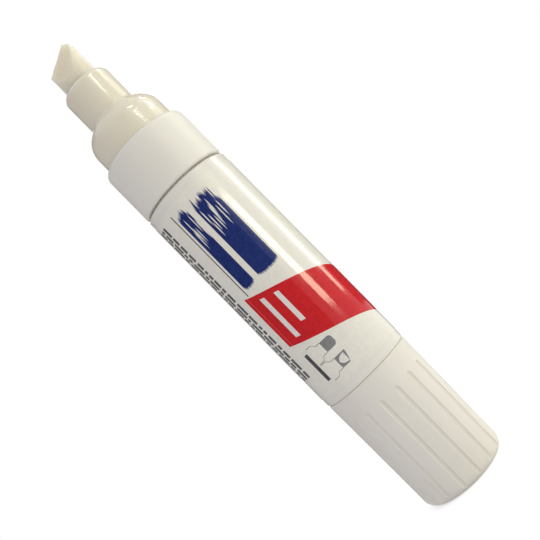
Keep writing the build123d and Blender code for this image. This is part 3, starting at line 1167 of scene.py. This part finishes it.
@dataclass
class Cap:
    """The grooved satin cap and the soft liner inside it."""

    shell: MouldedPlastic = MouldedPlastic(
        "cap_satin", (241, 237, 226), (238, 233, 221), smooth=0.38, rough=0.5, shine=0.15
    )
    liner: MouldedPlastic = MouldedPlastic(
        "liner_soft", (232, 229, 216), (226, 222, 207), smooth=0.42, rough=0.56, soak=0.25
    )

    def build(self) -> None:
        """Dress the cap and its liner."""
        dress(self.shell, "cap")
        dress(self.liner, "cap_liner")


class LampColour(Enum):
    """The colours of the studio's lamps."""

    PLAIN = (1.0, 0.98, 0.94)
    WARM = (1.0, 0.968, 0.66)
    DAY = (0.965, 1.0, 0.925)
    AMBER = (1.0, 0.92, 0.7)


@dataclass(frozen=True)
class Lamp:
    """A rectangular studio lamp between two heights, which faces the marker's axis."""

    name: str
    azimuth_deg: float
    watts: float
    low_m: float = 0.05
    high_m: float = 0.45
    width_m: float = 0.3
    aim_m: float = 0.15
    distance_m: float = 0.5
    colour: LampColour = LampColour.AMBER
    glint_only: bool = False

    def build(self) -> None:
        """Hang the lamp and turn it to the marker."""
        light = bpy.data.lights.new(self.name, "AREA")
        light.shape = "RECTANGLE"
        light.size = self.width_m
        light.size_y = self.high_m - self.low_m
        light.energy = self.watts
        light.color = self.colour.value
        lamp = bpy.data.objects.new(self.name, light)
        middle = (self.low_m + self.high_m) / 2
        lamp.location = polar(math.radians(self.azimuth_deg), self.distance_m, middle)
        lamp.visible_diffuse = not self.glint_only
        lamp.rotation_mode = "QUATERNION"
        aim = Vector((0, 0, self.aim_m))
        lamp.rotation_quaternion = (aim - lamp.location).to_track_quat("-Z", "Y")
        bpy.context.scene.collection.objects.link(lamp)


@dataclass(frozen=True)
class Pane(Lamp):
    """A lamp that gives only a glint."""

    distance_m: float = 0.45
    glint_only: bool = True


@dataclass
class Studio:
    """The camera at the photograph's angle, the lamps, the world, the floor and the dark cloths that
    paint dark reflections.
    """

    camera_distance_m: float = 0.1419
    camera_height_m: float = 0.0412
    camera_near_m: float = 0.005
    aim_m: Triple = (0.000245, 0.0, 0.0457)
    turn_deg: float = 45.43
    lens_mm: float = 52.8
    sensor_mm: float = 36.0
    shift: Pair = (-0.0305, 0.0347)
    lamps: tuple[Lamp, ...] = (
        Lamp("key_front", 51.0, 0.593, colour=LampColour.WARM),
        Lamp("key_side", 102.0, 0.738, colour=LampColour.DAY),
        Lamp("back_fill", 180.0, 0.4, colour=LampColour.PLAIN),
        Pane("low_pane_front", 52.4, 0.93, 0.03, 0.14, 0.118, 0.085),
        Pane("low_pane_side", 102.5, 0.44, 0.03, 0.172, 0.085, 0.1),
        Pane("middle_pane_front", 51.0, 0.08, 0.229, 0.237, 0.08, 0.233),
        Pane("middle_pane_side", 99.0, 0.08, 0.229, 0.237, 0.08, 0.233),
        Pane("high_pane_front", 47.0, 0.105, 0.265, 0.281, 0.08, 0.27),
        Pane("high_pane_side", 95.0, 0.035, 0.265, 0.281, 0.08, 0.27),
        Pane("top_pane_front", 55.0, 0.2, 0.25, 0.3, 0.05, 0.088, distance_m=0.23),
        Pane("top_pane_side", 112.0, 0.2, 0.235, 0.285, 0.05, 0.088, distance_m=0.23),
    )
    floor_side_m: float = 6.0
    floor_level: float = 0.86
    floor_lift: float = 0.5
    ambient: float = 0.65
    ambient_colour: Colour = (0.932, 0.923, 1.0, 1.0)
    cloth: Cloth = Cloth("dark_reflection_cloth")
    cloth_steps: int = 40
    flag_radius_m: float = 0.7
    flag_height_m: float = 0.9
    flag_turn_deg: Pair = (-245.0, 25.0)
    mat_radius_m: float = 0.0125
    mat_height_m: float = 0.0004
    mat_turn_deg: Pair = (-215.0, -60.0)

    def build_camera(self) -> None:
        """Set the camera level with the barrel and rolled, so that the nib points to the upper left."""
        data = bpy.data.cameras.new("photo_camera")
        data.lens = self.lens_mm
        data.sensor_width = self.sensor_mm
        data.shift_x, data.shift_y = self.shift
        data.clip_start = self.camera_near_m
        camera = bpy.data.objects.new("photo_camera", data)
        place = Vector((0, -self.camera_distance_m, self.camera_height_m))
        forward = (Vector(self.aim_m) - place).normalized()
        turn = math.radians(self.turn_deg)
        right = Vector((math.sin(turn), 0, -math.cos(turn)))
        right = (right - forward * right.dot(forward)).normalized()
        axes = Matrix((right, right.cross(forward), -forward)).transposed()
        camera.matrix_world = Matrix.Translation(place) @ axes.to_4x4()
        bpy.context.scene.collection.objects.link(camera)
        bpy.context.scene.camera = camera

    @staticmethod
    def split(sheet: NodeSheet, lighting: Node, showing: Node) -> Socket:
        """Use one shader for rays that light and another for rays that show the background.

        Args:
            sheet: The node sheet of the world or of a material.
            lighting: The shader for rays that light.
            showing: The shader for rays that come straight, mirrored or through glass to the camera.

        Returns:
            The two shaders as one.
        """
        path = sheet.add("ShaderNodeLightPath").outputs
        mirrored = sheet.math("MAXIMUM", path["Is Glossy Ray"], path["Is Transmission Ray"])
        share = sheet.math("MAXIMUM", path["Is Camera Ray"], mirrored)
        shaders = {0: share, 1: lighting.outputs[0], 2: showing.outputs[0]}
        return sheet.add("ShaderNodeMixShader", shaders).outputs[0]

    def build_world(self) -> None:
        """Make the world a soft even light that shows as white."""
        world = bpy.data.worlds.new("studio_world")
        world.use_nodes = True
        sheet = NodeSheet(world.node_tree)
        fill = sheet.add("ShaderNodeBackground", {"Color": self.ambient_colour, "Strength": self.ambient})
        white = sheet.add("ShaderNodeBackground", {"Color": grey(1.0), "Strength": 1.0})
        sheet.add("ShaderNodeOutputWorld", {"Surface": self.split(sheet, fill, white)})
        world.cycles.sampling_method = "NONE"
        bpy.context.scene.world = world

    def build_floor(self) -> None:
        """Lay a pale floor that shows as white and keeps the marker's shadow."""
        material = bpy.data.materials.new("studio_floor")
        material.use_nodes = True
        sheet = NodeSheet(material.node_tree)
        matt = sheet.add("ShaderNodeBsdfDiffuse", {"Color": grey(self.floor_level)})
        lift = sheet.add("ShaderNodeEmission", {"Color": grey(1.0), "Strength": self.floor_lift})
        lifted = sheet.add("ShaderNodeAddShader", {0: matt.outputs[0], 1: lift.outputs[0]})
        sheet.add("ShaderNodeOutputMaterial", {"Surface": self.split(sheet, matt, lifted)})
        half = self.floor_side_m / 2
        corners = ((-half, -half), (half, -half), (half, half), (-half, half))
        points = [Vector((*corner, 0)) for corner in corners]
        new_piece("studio_floor", points, [(0, 1, 2, 3)], [material])

    def hang_cloth(
        self, name: str, material: Material, turn_deg: Pair, edges_m: tuple[Pair, Pair]
    ) -> None:
        """Stretch a cloth round the marker that shows only in reflections, where it paints dark
        reflections.

        Args:
            name: The cloth's name.
            material: What it is made of.
            turn_deg: Where it starts and ends round the marker, from the front.
            edges_m: The radius and the height of its two edges.
        """
        first, last = turn_deg
        points = []
        for step in range(self.cloth_steps + 1):
            angle = math.radians(first + (last - first) * step / self.cloth_steps)
            points += [polar(angle, *edge) for edge in edges_m]
        faces = [(2 * s, 2 * s + 2, 2 * s + 3, 2 * s + 1) for s in range(self.cloth_steps)]
        cloth = new_piece(name, points, faces, [material])
        # Hidden from the camera, from diffuse light and from shadow, the cloth only darkens reflections:
        # a painted dark reflection.
        cloth.visible_camera = False
        cloth.visible_diffuse = False
        cloth.visible_shadow = False

    def build_dark_reflections(self) -> None:
        """Hang a dark cloth on the shaded side and lay one on the floor there, both seen only in
        reflections, where they paint dark reflections.
        """
        material = self.cloth.material()
        standing = ((self.flag_radius_m, 0.0), (self.flag_radius_m, self.flag_height_m))
        lying = ((self.mat_radius_m, self.mat_height_m), (self.flag_radius_m, self.mat_height_m))
        self.hang_cloth("dark_reflection_flag", material, self.flag_turn_deg, standing)
        self.hang_cloth("dark_reflection_mat", material, self.mat_turn_deg, lying)

    def build(self) -> None:
        """Build the camera, the lamps, the world, the floor and the dark cloths that paint dark
        reflections.
        """
        self.build_camera()
        for lamp in self.lamps:
            lamp.build()
        self.build_world()
        self.build_floor()
        self.build_dark_reflections()
        bpy.context.scene.view_settings.view_transform = "Standard"
        LOG.info("set up the studio")


def main() -> None:
    """Build the marker from its cap to its nib, then the studio round it."""
    logging.basicConfig(level=logging.INFO, format="%(name)s: %(message)s")
    for assembly in (Cap(), Barrel(Label()), FrontEnd(), Valve(), Nib(), Studio()):
        assembly.build()


if __name__ == "__main__":
    main()
